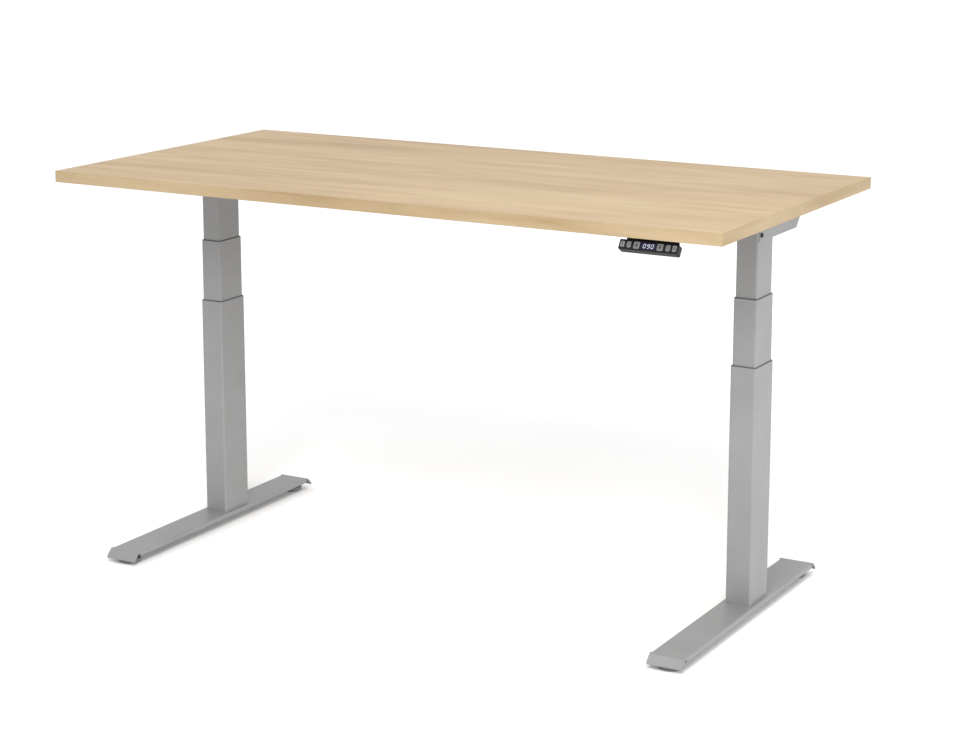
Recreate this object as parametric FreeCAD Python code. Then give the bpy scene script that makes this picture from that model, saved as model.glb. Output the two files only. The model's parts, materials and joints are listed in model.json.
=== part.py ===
import FreeCAD, Part
import math
import os

# Height adjustable standing desk, in millimetres.
# Origin: on the floor, under the middle of the desktop. +X runs along the desk, +Y to the back,
# +Z up. The desk stands at a desktop height of 900 mm.

# Desktop
TOP_LENGTH = 1600.0
TOP_DEPTH = 800.0
TOP_THICKNESS = 25.0
TOP_HEIGHT = 900.0
BAND_THICKNESS = 2.0
BAND_EDGE_RADIUS = 1.2
BAND_CORNER_RADIUS = 2.5
UNDERSIDE = TOP_HEIGHT - TOP_THICKNESS

# Lifting columns: three nested tubes, the widest at the bottom
COLUMN_X = 679.0
COLUMN_Y = 47.0
TUBE_WALL = 2.0
OUTER_HALF = (29.0, 47.0)
MIDDLE_HALF = (26.5, 43.75)
INNER_HALF = (24.0, 40.5)
OUTER_RADIUS = 5.0
MIDDLE_RADIUS = 4.5
INNER_RADIUS = 4.0
OUTER_TOP = 545.0
MIDDLE_TOP = 689.0
MIDDLE_BOTTOM = 189.0
INNER_TOP = 868.0
INNER_BOTTOM = 332.0
GLIDE_GAP = 0.3
COLLAR_HEIGHT = 1.5
COLLAR_INSET = 0.6
GLIDE_LENGTH = 60.0
GLIDE_HALF_WIDTH = 18.0
FLANGE_HEIGHT = 3.0
SNUG = 0.05

# Nested screw drive inside each column
BASE_SCREW_RADIUS = 8.0
BASE_SCREW_BORE = 5.2
BASE_SCREW_TOP = 440.0
BASE_SCREW_FLANGE = (14.0, 8.0)
SPINDLE_RADIUS = 12.0
SPINDLE_BORE = 8.7
SPINDLE_BOTTOM = 193.0
SPINDLE_LENGTH = 382.0
SPINDLE_SHOULDER = (14.5, 3.5)
SPINDLE_BUSH = 20.0
NUT_LENGTH = 30.0
NUT_RADIUS = 15.0
NUT_RAISED = 1.0
NUT_FLANGE = (20.0, 6.0)
RUNNING_CLEARANCE = 0.05
MIDDLE_PLUG_HEIGHT = 11.0
MIDDLE_PLUG_BORE = 13.0
INNER_PLUG_HEIGHT = 9.0
BEARING_RADIUS = 16.0
BEARING_HEIGHT = 10.0
BEARING_SEAT = (19.0, 12.0)
BEARING_GAP = 0.3
ROD_ACROSS_FLATS = 8.0
ROD_PLAY = 0.3
ROD_BOTTOM = 350.0
JOURNAL_RADIUS = 5.0
JOURNAL_BELOW = 3.0
JOURNAL_SHORT = 5.0

# Feet: pressed sheet channels with a turned-down flap at each end
SHEET = 3.0
FOOT_HALF_WIDTH = 39.0
FOOT_TOP = 30.0
FOOT_FRONT = -351.0
FOOT_BACK = 337.0
FLAP_DROP = 17.0
FLAP_CORNER = 3.5
FLAP_ANGLE = 45.0
FLAP_BEND = (5.0, 2.0)
EDGE_BEND = (4.5, 1.5)
FLANGE_BOTTOM = 20.5
NOTCH = 8.0
END_PLATE_THICKNESS = 8.0
BOLT_SPREAD = (17.0, 32.0)
BOLT_RADIUS = 4.0
BOLT_HOLE_RADIUS = 4.3
BOLT_ACROSS_FLATS = 13.0
BOLT_HEAD_HEIGHT = 5.5

# Levelling feet
PAD_RADIUS = 25.0
PAD_HEIGHT = 10.0
PAD_FRONT_Y = -332.0
PAD_BACK_Y = 320.0
PAD_ROUND = 1.5
STUD_RADIUS = 4.0
STUD_TOP = 26.5
STUD_SHOULDER_RADIUS = 7.0
BOSS_BOTTOM = 14.0
BOSS_ACROSS_FLATS = 17.0

# Column heads
HEAD_SHEET = 1.5
HEAD_HALF = 25.6
HEAD_BOTTOM = 810.0
HEAD_TOP = 872.0
HEAD_FRONT = 10.5
HEAD_REAR_LOW = 212.0
HEAD_REAR_SLOPE = 15.0 / 17.0
MOTOR_RADIUS = 20.0
MOTOR_Z = 847.0
MOTOR_FRONT = 97.0
MOTOR_LENGTH = 92.0
MOTOR_ROUND = 1.5
MOTOR_CAP = (7.0, 4.0)
GEARBOX_BOTTOM = 827.0
GEARBOX_TOP = 865.0
GEARBOX_GAP = 0.6
GEARBOX_ROUND = 2.0
NECK_HALF = 14.0
NECK_FRONT = 30.0
NECK_GAP = 1.0
HEAD_BEND = 4.5
HEAD_GAP = 0.1
SCREW_GRIP = 4.0
HEAD_SCREW_PLACES = ((20.0, 823.0), (80.0, 861.0), (165.0, 861.0))

# Frame under the desktop
ARM_HALF = 28.2
ARM_SHEET = 2.5
ARM_BOTTOM = 853.0
ARM_END_BOTTOM = 866.0
ARM_LENGTH_HALF = 290.0
ARM_TAPER = 70.0
ARM_ROUND = (3.0, 8.0)
ARM_SCREW_Y = (-270.0, -180.0, -90.0, 279.0)
RAIL_Y = (50.0, 140.0)
RAIL_BOTTOM = 822.0
RAIL_TOP = 852.0
RAIL_WIDTH = 22.0
RAIL_WALL = 2.0
RAIL_GAP = 0.25
RAIL_OVERLAP = 260.0
RAIL_FLANGE = 17.0
RAIL_FLANGE_THICKNESS = 2.5
RAIL_SCREW_INSET = 30.0
RAIL_SCREW_LENGTH = 5.0

# Fasteners
WOOD_SCREW_RADIUS = 2.4
WOOD_SCREW_DEPTH = 15.0
WOOD_HEAD_RADIUS = 5.0
WOOD_HEAD_HEIGHT = 3.0
WOOD_HEAD_ROUND = 1.4
WOOD_HOLE_GAP = 0.2
WOOD_RECESS_LENGTH = 6.4
WOOD_RECESS_WIDTH = 1.2
MACHINE_SCREW_RADIUS = 3.0
MACHINE_HEAD_RADIUS = 5.2
MACHINE_HEAD_HEIGHT = 3.0
MACHINE_HEAD_ROUND = 1.8
MACHINE_RECESS_FLATS = 4.0
MACHINE_RECESS_FLOOR = 1.2
MACHINE_HOLE_GAP = 0.1

# Control box
BOX_HALF_LENGTH = 125.0
BOX_FRONT = 160.0
BOX_BACK = 250.0
BOX_BOTTOM = 839.0
BOX_TOP = 872.0
BOX_WALL = 2.0
BOX_CORNER = 6.0
BOX_BEVEL = 2.5
BOX_EAR = 14.0
BOX_EAR_SHORT = 2.0
BOX_CHEEK_SHORT = 8.0
BOX_SCREW_INSET = 12.0
BOX_BOARD_GAP = 6.0
BOX_BOARD_SHORT = 26.0
BOX_BOARD_RAISED = 4.0
BOX_BOARD_THICKNESS = 1.6
BOX_BLOCK = (44.0, 38.0, 20.0)
BOX_BLOCK_X = (-80.0, 10.0)
INLET_X = 70.0
INLET_Z = 856.0
INLET_WIDTH = 28.0
INLET_HEIGHT = 21.0
INLET_CORNER = 3.0
INLET_DEPTH = 20.0
INLET_PROUD = 1.5
INLET_WALL = 2.5
INLET_GAP = 0.2
INLET_CAVITY_CORNER = 3.5
PIN_PLACES = ((-7.0, -1.5), (0.0, 1.5), (7.0, -1.5))
PIN_HALF = (1.0, 2.0)
PIN_SHORT = 3.0

# Leads
MOTOR_LEAD_RADIUS = 3.0
HANDSET_LEAD_RADIUS = 2.25
LEAD_Z = 868.0
SAG_Z = 862.0
CLIP_HALF = 6.0
CLIP_WALL = 2.5
CLIP_REACH = 16.0
CLIP_ROUND = 0.8
CLIP_GAP = 0.2
MOTOR_CLIP_X = (550.0, 400.0, 250.0)
MOTOR_LEAD_Y = 200.0
MOTOR_LEAD_EXIT_Z = 845.0
HANDSET_CLIP_Y = (-250.0, -80.0, 60.0)
HANDSET_CLIP_X = (480.0, 310.0, 200.0)
HANDSET_LEAD_X = 612.0
HANDSET_LEAD_Y = 176.0
LEAD_EXIT_UP = 3.0

# Handset: a flat box hung under the front edge, its face tilted up by HANDSET_TILT.
# Its parts are drawn upright about the middle of the face, x across, y into the case, z up the face.
HANDSET_X = 644.6
HANDSET_FACE_Y = -393.8
HANDSET_FACE_Z = 861.0
HANDSET_TILT = 33.0
HANDSET_HALF = 62.3
HANDSET_HALF_HEIGHT = 10.45
HANDSET_DEPTH = 14.5
HANDSET_BACK_PLATE = 2.0
HANDSET_CORNER = 2.8
HANDSET_BEVEL = 1.0
FACE_WALL = 2.4
SIDE_WALL = 1.6
BOARD_FRONT = 9.4
BOARD_THICKNESS = 1.6
KEY_RISE = 0.9
KEY_GAP = 0.3
KEY_CORNER = 2.3
KEY_TAB = 1.0
SMALL_KEY = (8.6, 12.6)
LARGE_KEY = (12.4, 14.6)
# Key centres from the middle of the face, with the width and height of each key
KEYS = (
    ("memory_key_one", -54.6, SMALL_KEY),
    ("memory_key_two", -41.1, SMALL_KEY),
    ("up_key", -24.6, LARGE_KEY),
    ("down_key", 24.6, LARGE_KEY),
    ("memory_key_three", 41.1, SMALL_KEY),
    ("save_key", 54.6, SMALL_KEY),
)
KEY_ROUND = 0.5
KEY_STEM_RADIUS = 1.5
KEY_TAB_GAP = 0.3
KEY_TAB_THICKNESS = 0.8
KEY_TAB_SHORT = 3.0
SWITCH_HALF = 3.0
SWITCH_HEIGHT = 3.0
SWITCH_GAP = 1.0
WINDOW_HALF = 15.6
WINDOW_HEIGHT = 15.2
WINDOW_CORNER = 1.1
WINDOW_GAP = 0.15
WINDOW_SUNK = 0.1
DISPLAY_HALF = (14.0, 6.6)
DISPLAY_THICKNESS = 6.4
HANDSET_BOARD_INSET = (4.0, 2.4)
PLATE_INSET = 0.2
BRACKET_HALF = 55.0
BRACKET_SUNK = 0.6
BRACKET_JOIN = (9.6, 5.4)
BRACKET_BEND_Z = (863.0, 861.4)
BRACKET_FRONT = -374.0
BRACKET_WEB_BACK = -370.8
BRACKET_BACK = -344.0
BRACKET_SCREW_Y = -356.0
BRACKET_SCREW_SPREAD = 30.0

SIDES = (("left", -1.0), ("right", 1.0))
ENDS = (-1.0, 1.0)


def vector(x, y, z):
    return FreeCAD.Vector(x, y, z)


def save(node, shape):
    """Write one node as a STEP file."""
    shape.exportStep("parts/" + node + ".step")


def block(x_low, x_high, y_low, y_high, z_low, z_high):
    """A box from its lowest to its highest corner."""
    corner = vector(x_low, y_low, z_low)
    return Part.makeBox(x_high - x_low, y_high - y_low, z_high - z_low, corner)


def rod(radius, start, end):
    """A round bar between two points."""
    run = end.sub(start)
    return Part.makeCylinder(radius, run.Length, start, run)


def disc(radius, x, y, z_low, z_high):
    """An upright round bar."""
    return rod(radius, vector(x, y, z_low), vector(x, y, z_high))


def rounded_face(corners):
    """A flat face inside the corners (x, y, z, radius), each one rounded to its radius."""
    points = [vector(*corner[:3]) for corner in corners]
    count = len(points)
    entries = []
    exits = []
    arcs = []
    for index in range(count):
        here = points[index]
        radius = corners[index][3]
        back = points[index - 1].sub(here)
        ahead = points[(index + 1) % count].sub(here)
        back.normalize()
        ahead.normalize()
        if radius == 0.0:
            entries.append(here)
            exits.append(here)
            arcs.append(None)
            continue
        half_angle = back.getAngle(ahead) / 2.0
        reach = radius / math.tan(half_angle)
        inward = back.add(ahead)
        inward.normalize()
        middle = here.add(inward.multiply(radius / math.sin(half_angle) - radius))
        entry = here.add(back.multiply(reach))
        leave = here.add(ahead.multiply(reach))
        entries.append(entry)
        exits.append(leave)
        arcs.append(Part.Arc(entry, middle, leave).toShape())
    edges = []
    for index in range(count):
        if arcs[index] is not None:
            edges.append(arcs[index])
        start = exits[index]
        end = entries[(index + 1) % count]
        if start.distanceToPoint(end) > 1e-6:
            edges.append(Part.makeLine(start, end))
    return Part.Face(Part.Wire(edges))


def upright(half, radius, x, y, z_low, z_high):
    """An upright bar whose section is a rectangle with round corners."""
    half_x, half_y = half
    corners = [
        (x - half_x, y - half_y, z_low, radius),
        (x + half_x, y - half_y, z_low, radius),
        (x + half_x, y + half_y, z_low, radius),
        (x - half_x, y + half_y, z_low, radius),
    ]
    return rounded_face(corners).extrude(vector(0, 0, z_high - z_low))


def grown(half, amount):
    """Half sizes made larger, or smaller, on every side."""
    return (half[0] + amount, half[1] + amount)


def hexagon(across_flats, x, y, z_low, z_high):
    """An upright hexagonal bar."""
    reach = across_flats / math.sqrt(3.0)
    corners = []
    for step in range(6):
        angle = math.radians(60.0 * step)
        corners.append((x + reach * math.cos(angle), y + reach * math.sin(angle), z_low, 0.0))
    return rounded_face(corners).extrude(vector(0, 0, z_high - z_low))


def facing(half_width, height, radius, x, y_front, y_back, z_middle):
    """A bar along Y whose front face is a rectangle with round corners."""
    low = z_middle - height / 2.0
    high = z_middle + height / 2.0
    corners = [
        (x - half_width, y_front, low, radius),
        (x + half_width, y_front, low, radius),
        (x + half_width, y_front, high, radius),
        (x - half_width, y_front, high, radius),
    ]
    return rounded_face(corners).extrude(vector(0, y_back - y_front, 0))


# ---------------------------------------------------------------- desktop


def screw_places():
    """Where a wood screw goes up into the desktop: (x, y)."""
    places = []
    for side in ENDS:
        for y in ARM_SCREW_Y:
            places.append((side * COLUMN_X, y))
        for y in box_screw_y():
            places.append((side * (BOX_HALF_LENGTH + BOX_EAR / 2.0), y))
        places.append((HANDSET_X + side * BRACKET_SCREW_SPREAD, BRACKET_SCREW_Y))
    return places


def box_screw_y():
    """Where the screws are along the control box's ears."""
    return (BOX_FRONT + BOX_SCREW_INSET, BOX_BACK - BOX_SCREW_INSET)


def rounded_top():
    """The outer shape of the desktop with its softened edges."""
    half = (TOP_LENGTH / 2.0, TOP_DEPTH / 2.0)
    slab = upright(half, BAND_CORNER_RADIUS, 0.0, 0.0, UNDERSIDE, TOP_HEIGHT)
    rims = [edge for edge in slab.Edges if abs(edge.BoundBox.ZLength) < 1e-6]
    return slab.makeFillet(BAND_EDGE_RADIUS, rims)


def make_desktop():
    """The board, and four edge bands round it."""
    slab = rounded_top()
    inner_x = TOP_LENGTH / 2.0 - BAND_THICKNESS
    inner_y = TOP_DEPTH / 2.0 - BAND_THICKNESS
    board = block(-inner_x, inner_x, -inner_y, inner_y, UNDERSIDE, TOP_HEIGHT)
    for x, y in screw_places():
        pilot = disc(WOOD_SCREW_RADIUS + SNUG, x, y, UNDERSIDE, UNDERSIDE + WOOD_SCREW_DEPTH + 1.0)
        board = board.cut(pilot)
    save("desktop", board)
    outer_x = TOP_LENGTH / 2.0
    outer_y = TOP_DEPTH / 2.0
    strips = []
    for end in ENDS:
        x_low, x_high = sorted((end * inner_x, end * outer_x))
        strips.append(slab.common(block(x_low, x_high, -outer_y, outer_y, UNDERSIDE, TOP_HEIGHT)))
        y_low, y_high = sorted((end * inner_y, end * outer_y))
        strips.append(slab.common(block(-inner_x, inner_x, y_low, y_high, UNDERSIDE, TOP_HEIGHT)))
    save("edge_bands", Part.makeCompound(strips))


# ---------------------------------------------------------------- feet


def foot_strip(x):
    """The flat strip with its two end flaps, seen from the side and drawn out across the foot."""
    low = FOOT_TOP - SHEET
    drop = FLAP_DROP
    step = SHEET * math.tan(math.radians(FLAP_ANGLE / 2.0))
    tip = SHEET * math.cos(math.radians(FLAP_ANGLE))
    outer_bend, inner_bend = FLAP_BEND
    left = x - FOOT_HALF_WIDTH
    corners = [
        (left, FOOT_FRONT, FOOT_TOP, outer_bend),
        (left, FOOT_BACK, FOOT_TOP, outer_bend),
        (left, FOOT_BACK + drop, FOOT_TOP - drop, 0.0),
        (left, FOOT_BACK + drop - tip, FOOT_TOP - drop - tip, 0.0),
        (left, FOOT_BACK - step, low, inner_bend),
        (left, FOOT_FRONT + step, low, inner_bend),
        (left, FOOT_FRONT - drop + tip, FOOT_TOP - drop - tip, 0.0),
        (left, FOOT_FRONT - drop, FOOT_TOP - drop, 0.0),
    ]
    strip = rounded_face(corners).extrude(vector(2.0 * FOOT_HALF_WIDTH, 0, 0))
    front_tip = FOOT_FRONT - drop
    back_tip = FOOT_BACK + drop
    plan = [
        (x - FOOT_HALF_WIDTH, front_tip, 0.0, FLAP_CORNER),
        (x + FOOT_HALF_WIDTH, front_tip, 0.0, FLAP_CORNER),
        (x + FOOT_HALF_WIDTH, back_tip, 0.0, FLAP_CORNER),
        (x - FOOT_HALF_WIDTH, back_tip, 0.0, FLAP_CORNER),
    ]
    return strip.common(rounded_face(plan).extrude(vector(0, 0, FOOT_TOP + 1.0)))


def foot_channel(x):
    """The middle stretch of the foot, with its edges turned down."""
    front = FOOT_FRONT + NOTCH
    back = FOOT_BACK - NOTCH
    outer = FOOT_HALF_WIDTH
    inner = FOOT_HALF_WIDTH - SHEET
    low = FOOT_TOP - SHEET
    outer_bend, inner_bend = EDGE_BEND
    corners = [
        (x - outer, front, FLANGE_BOTTOM, 0.0),
        (x - outer, front, FOOT_TOP, outer_bend),
        (x + outer, front, FOOT_TOP, outer_bend),
        (x + outer, front, FLANGE_BOTTOM, 0.0),
        (x + inner, front, FLANGE_BOTTOM, 0.0),
        (x + inner, front, low, inner_bend),
        (x - inner, front, low, inner_bend),
        (x - inner, front, FLANGE_BOTTOM, 0.0),
    ]
    return rounded_face(corners).extrude(vector(0, back - front, 0))


def foot_bolt_places(x):
    """The four bolts that hold a column down on its foot."""
    places = []
    spread_x, spread_y = BOLT_SPREAD
    for side in ENDS:
        for end in ENDS:
            places.append((x + side * spread_x, COLUMN_Y + end * spread_y))
    return places


def make_foot(name, x):
    strip = foot_strip(x)
    edge = FOOT_HALF_WIDTH - FLAP_BEND[0]
    for side in ENDS:
        x_low, x_high = sorted((x + side * edge, x + side * (FOOT_HALF_WIDTH + 1.0)))
        trim = block(x_low, x_high, FOOT_FRONT + NOTCH, FOOT_BACK - NOTCH, 0.0, FOOT_TOP + 1.0)
        strip = strip.cut(trim)
    foot = strip.fuse(foot_channel(x)).removeSplitter()
    for bolt_x, bolt_y in foot_bolt_places(x):
        foot = foot.cut(disc(BOLT_HOLE_RADIUS, bolt_x, bolt_y, FOOT_TOP - SHEET - 1.0, FOOT_TOP + 1.0))
    save(name + "_foot", foot)


def make_levelling_feet():
    """Round pads on threaded studs, and the threaded bosses that hold them."""
    bosses = []
    for name, side in SIDES:
        x = side * COLUMN_X
        for end, y in (("front", PAD_FRONT_Y), ("back", PAD_BACK_Y)):
            pad = disc(PAD_RADIUS, x, y, 0.0, PAD_HEIGHT)
            rims = [edge for edge in pad.Edges if edge.BoundBox.ZLength < 1e-6]
            pad = pad.makeFillet(PAD_ROUND, rims)
            shoulder = disc(STUD_SHOULDER_RADIUS, x, y, PAD_HEIGHT, BOSS_BOTTOM)
            stud = disc(STUD_RADIUS, x, y, BOSS_BOTTOM, STUD_TOP)
            save(end + "_" + name + "_levelling_foot", pad.fuse(shoulder).fuse(stud))
            boss = hexagon(BOSS_ACROSS_FLATS, x, y, BOSS_BOTTOM, FOOT_TOP - SHEET)
            bore = disc(STUD_RADIUS + RUNNING_CLEARANCE, x, y, BOSS_BOTTOM, FOOT_TOP - SHEET)
            bosses.append(boss.cut(bore))
    save("levelling_bosses", Part.makeCompound(bosses))


# ---------------------------------------------------------------- lifting columns


def tube(half, radius, x, z_low, z_high):
    """A column tube: a rounded rectangle with an even wall."""
    outside = upright(half, radius, x, COLUMN_Y, z_low, z_high)
    inner_radius = max(radius - TUBE_WALL, 1.0)
    inside = upright(grown(half, -TUBE_WALL), inner_radius, x, COLUMN_Y, z_low, z_high)
    return outside.cut(inside)


def collar(half, radius, moving_half, moving_radius, x, z_top):
    """A sliding collar in a tube's mouth: a thin rim on the tube and two strips down inside."""
    opening = upright(
        grown(moving_half, GLIDE_GAP), moving_radius + GLIDE_GAP, x, COLUMN_Y, z_top, z_top + COLLAR_HEIGHT
    )
    rim_half = grown(half, -COLLAR_INSET)
    rim = upright(rim_half, radius - COLLAR_INSET, x, COLUMN_Y, z_top, z_top + COLLAR_HEIGHT)
    ring = rim.cut(opening)
    near = moving_half[1] + GLIDE_GAP
    far = half[1] - TUBE_WALL - SNUG
    left = x - GLIDE_HALF_WIDTH
    right = x + GLIDE_HALF_WIDTH
    for side in ENDS:
        y_low, y_high = sorted((COLUMN_Y + side * near, COLUMN_Y + side * far))
        ring = ring.fuse(block(left, right, y_low, y_high, z_top - GLIDE_LENGTH, z_top))
    return ring


def end_plug(half, outside_half, radius, x, z_tube, thickness, bore):
    """A plug in a tube's lower end, with a flange that slides in the tube outside it."""
    fill = grown(half, -TUBE_WALL - SNUG)
    body = upright(fill, radius - TUBE_WALL, x, COLUMN_Y, z_tube, z_tube + thickness)
    slide = grown(outside_half, -TUBE_WALL - GLIDE_GAP)
    flange = upright(slide, radius, x, COLUMN_Y, z_tube - FLANGE_HEIGHT, z_tube)
    whole = body.fuse(flange)
    return whole.cut(disc(bore, x, COLUMN_Y, z_tube - FLANGE_HEIGHT, z_tube + thickness))


def make_outer_stage(name, x):
    save(name + "_outer_tube", tube(OUTER_HALF, OUTER_RADIUS, x, FOOT_TOP, OUTER_TOP))
    screw_base = FOOT_TOP + END_PLATE_THICKNESS
    flange_radius, flange_height = BASE_SCREW_FLANGE
    flange = disc(flange_radius, x, COLUMN_Y, screw_base, screw_base + flange_height)
    shank = disc(BASE_SCREW_RADIUS, x, COLUMN_Y, screw_base, BASE_SCREW_TOP)
    bore = disc(BASE_SCREW_BORE, x, COLUMN_Y, screw_base, BASE_SCREW_TOP)
    save(name + "_base_screw", flange.fuse(shank).cut(bore))


def column_plate(x):
    """The plate in the bottom of the outer tube, which the foot's bolts pull down."""
    half = grown(OUTER_HALF, -TUBE_WALL - SNUG)
    radius = OUTER_RADIUS - TUBE_WALL
    plate = upright(half, radius, x, COLUMN_Y, FOOT_TOP, FOOT_TOP + END_PLATE_THICKNESS)
    for bolt_x, bolt_y in foot_bolt_places(x):
        hole_radius = BOLT_RADIUS + RUNNING_CLEARANCE
        plate = plate.cut(disc(hole_radius, bolt_x, bolt_y, FOOT_TOP, FOOT_TOP + END_PLATE_THICKNESS))
    return plate


def foot_bolt(x, y):
    """A hexagon bolt that goes up through the foot."""
    under = FOOT_TOP - SHEET
    shank = disc(BOLT_RADIUS, x, y, under, FOOT_TOP + END_PLATE_THICKNESS - 1.0)
    return shank.fuse(hexagon(BOLT_ACROSS_FLATS, x, y, under - BOLT_HEAD_HEIGHT, under))


def make_middle_stage(name, x):
    save(name + "_middle_tube", tube(MIDDLE_HALF, MIDDLE_RADIUS, x, MIDDLE_BOTTOM, MIDDLE_TOP))
    ring = collar(MIDDLE_HALF, MIDDLE_RADIUS, INNER_HALF, INNER_RADIUS, x, MIDDLE_TOP)
    save(name + "_middle_collar", ring)
    thickness = MIDDLE_PLUG_HEIGHT
    plug = end_plug(
        MIDDLE_HALF, OUTER_HALF, MIDDLE_RADIUS, x, MIDDLE_BOTTOM, thickness, MIDDLE_PLUG_BORE
    )
    seat_low = MIDDLE_BOTTOM + thickness
    seat_radius, seat_height = BEARING_SEAT
    seat = disc(seat_radius, x, COLUMN_Y, seat_low, seat_low + seat_height)
    seat = seat.cut(disc(BEARING_RADIUS, x, COLUMN_Y, seat_low, seat_low + seat_height))
    save(name + "_middle_plug", plug.fuse(seat))
    bearing_top = seat_low + BEARING_HEIGHT
    bearing = disc(BEARING_RADIUS - SNUG, x, COLUMN_Y, seat_low, bearing_top)
    hole = disc(SPINDLE_RADIUS + RUNNING_CLEARANCE, x, COLUMN_Y, seat_low, bearing_top)
    save(name + "_thrust_bearing", bearing.cut(hole))


def make_spindle(name, x):
    """The hollow spindle: it climbs the base screw and drives the lift nut."""
    top = SPINDLE_BOTTOM + SPINDLE_LENGTH
    body = disc(SPINDLE_RADIUS, x, COLUMN_Y, SPINDLE_BOTTOM, top)
    shoulder_low = MIDDLE_BOTTOM + MIDDLE_PLUG_HEIGHT + BEARING_HEIGHT + BEARING_GAP
    shoulder_radius, shoulder_height = SPINDLE_SHOULDER
    shoulder = disc(shoulder_radius, x, COLUMN_Y, shoulder_low, shoulder_low + shoulder_height)
    body = body.fuse(shoulder)
    nut_bore = BASE_SCREW_RADIUS + RUNNING_CLEARANCE
    body = body.cut(disc(nut_bore, x, COLUMN_Y, SPINDLE_BOTTOM, SPINDLE_BOTTOM + NUT_LENGTH))
    bush_low = top - SPINDLE_BUSH
    body = body.cut(disc(SPINDLE_BORE, x, COLUMN_Y, SPINDLE_BOTTOM + NUT_LENGTH, bush_low))
    body = body.cut(hexagon(ROD_ACROSS_FLATS + ROD_PLAY, x, COLUMN_Y, bush_low, top))
    save(name + "_spindle", body)


def make_drive_rod(name, x):
    """The hexagonal rod that the gearbox turns; it slides through the spindle's hexagonal mouth."""
    journal_low = GEARBOX_BOTTOM - JOURNAL_BELOW
    bar = hexagon(ROD_ACROSS_FLATS, x, COLUMN_Y, ROD_BOTTOM, journal_low)
    journal = disc(JOURNAL_RADIUS, x, COLUMN_Y, journal_low, GEARBOX_TOP - JOURNAL_SHORT)
    save(name + "_drive_rod", bar.fuse(journal))


def lift_nut(x):
    """The nut at the bottom of the inner tube, with the flange that lifts the tube."""
    low = INNER_BOTTOM + NUT_RAISED
    nut = disc(NUT_RADIUS, x, COLUMN_Y, low, low + NUT_LENGTH)
    seat = INNER_BOTTOM + INNER_PLUG_HEIGHT
    flange_radius, flange_height = NUT_FLANGE
    nut = nut.fuse(disc(flange_radius, x, COLUMN_Y, seat, seat + flange_height))
    bore = SPINDLE_RADIUS + RUNNING_CLEARANCE
    return nut.cut(disc(bore, x, COLUMN_Y, low, low + NUT_LENGTH))


def inner_plug(x):
    """The plug round the lift nut, in the lower end of the inner tube."""
    thickness = INNER_PLUG_HEIGHT
    bore = NUT_RADIUS + SNUG
    return end_plug(INNER_HALF, MIDDLE_HALF, INNER_RADIUS, x, INNER_BOTTOM, thickness, bore)


def motor_window(x):
    """The slot in the inner tube's back wall that the gearbox neck passes through."""
    wall = COLUMN_Y + INNER_HALF[1] - TUBE_WALL
    half = NECK_HALF + NECK_GAP
    return block(x - half, x + half, wall - 1.0, wall + TUBE_WALL + 1.0, MOTOR_Z - half, INNER_TOP)


def make_inner_stage(name, x):
    body = tube(INNER_HALF, INNER_RADIUS, x, INNER_BOTTOM, INNER_TOP)
    body = body.cut(motor_window(x))
    for y, z in HEAD_SCREW_PLACES:
        start = vector(x - INNER_HALF[0] - 1.0, y, z)
        end = vector(x + INNER_HALF[0] + 1.0, y, z)
        body = body.cut(rod(MACHINE_SCREW_RADIUS + SNUG, start, end))
    save(name + "_inner_tube", body)


# ---------------------------------------------------------------- column heads


def head_profile(x, inset, half, y_front):
    """The side shape of the head, drawn out across its width."""
    slant = math.hypot(1.0, HEAD_REAR_SLOPE)
    low = HEAD_BOTTOM + inset
    rear_low = HEAD_REAR_LOW + HEAD_REAR_SLOPE * inset - inset * slant
    rear_high = rear_low + HEAD_REAR_SLOPE * (HEAD_TOP - low)
    corners = [
        (x - half, y_front, low, 0.0),
        (x - half, rear_low, low, HEAD_BEND - inset),
        (x - half, rear_high, HEAD_TOP, 0.0),
        (x - half, y_front, HEAD_TOP, 0.0),
    ]
    return rounded_face(corners).extrude(vector(2.0 * half, 0, 0))


def head_screw_ends(x, y, z, side, outside):
    """The points where a head screw starts inside and ends outside."""
    start = vector(x + side * (INNER_HALF[0] - SCREW_GRIP), y, z)
    end = vector(x + side * outside, y, z)
    return start, end


def make_head(name, x):
    """The pressed housing at the top of a column; the motor lies in its rear part."""
    shell = head_profile(x, 0.0, HEAD_HALF, HEAD_FRONT)
    hollow = head_profile(x, HEAD_SHEET, HEAD_HALF - HEAD_SHEET, HEAD_FRONT - 1.0)
    shell = shell.cut(hollow)
    passage_top = HEAD_BOTTOM + HEAD_SHEET + 1.0
    passage_half = grown(INNER_HALF, HEAD_GAP)
    passage = upright(passage_half, INNER_RADIUS, x, COLUMN_Y, HEAD_BOTTOM - 1.0, passage_top)
    shell = shell.cut(passage)
    for y, z in HEAD_SCREW_PLACES:
        for side in ENDS:
            start, end = head_screw_ends(x, y, z, side, HEAD_HALF + 1.0)
            shell = shell.cut(rod(MACHINE_SCREW_RADIUS + MACHINE_HOLE_GAP, start, end))
    inner_side = -math.copysign(1.0, x)
    start = vector(x + inner_side * (HEAD_HALF - 3.0), MOTOR_LEAD_Y, MOTOR_LEAD_EXIT_Z)
    end = vector(x + inner_side * (HEAD_HALF + 1.0), MOTOR_LEAD_Y, MOTOR_LEAD_EXIT_Z)
    shell = shell.cut(rod(MOTOR_LEAD_RADIUS + 0.2, start, end))
    save(name + "_motor_housing", shell)


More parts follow.
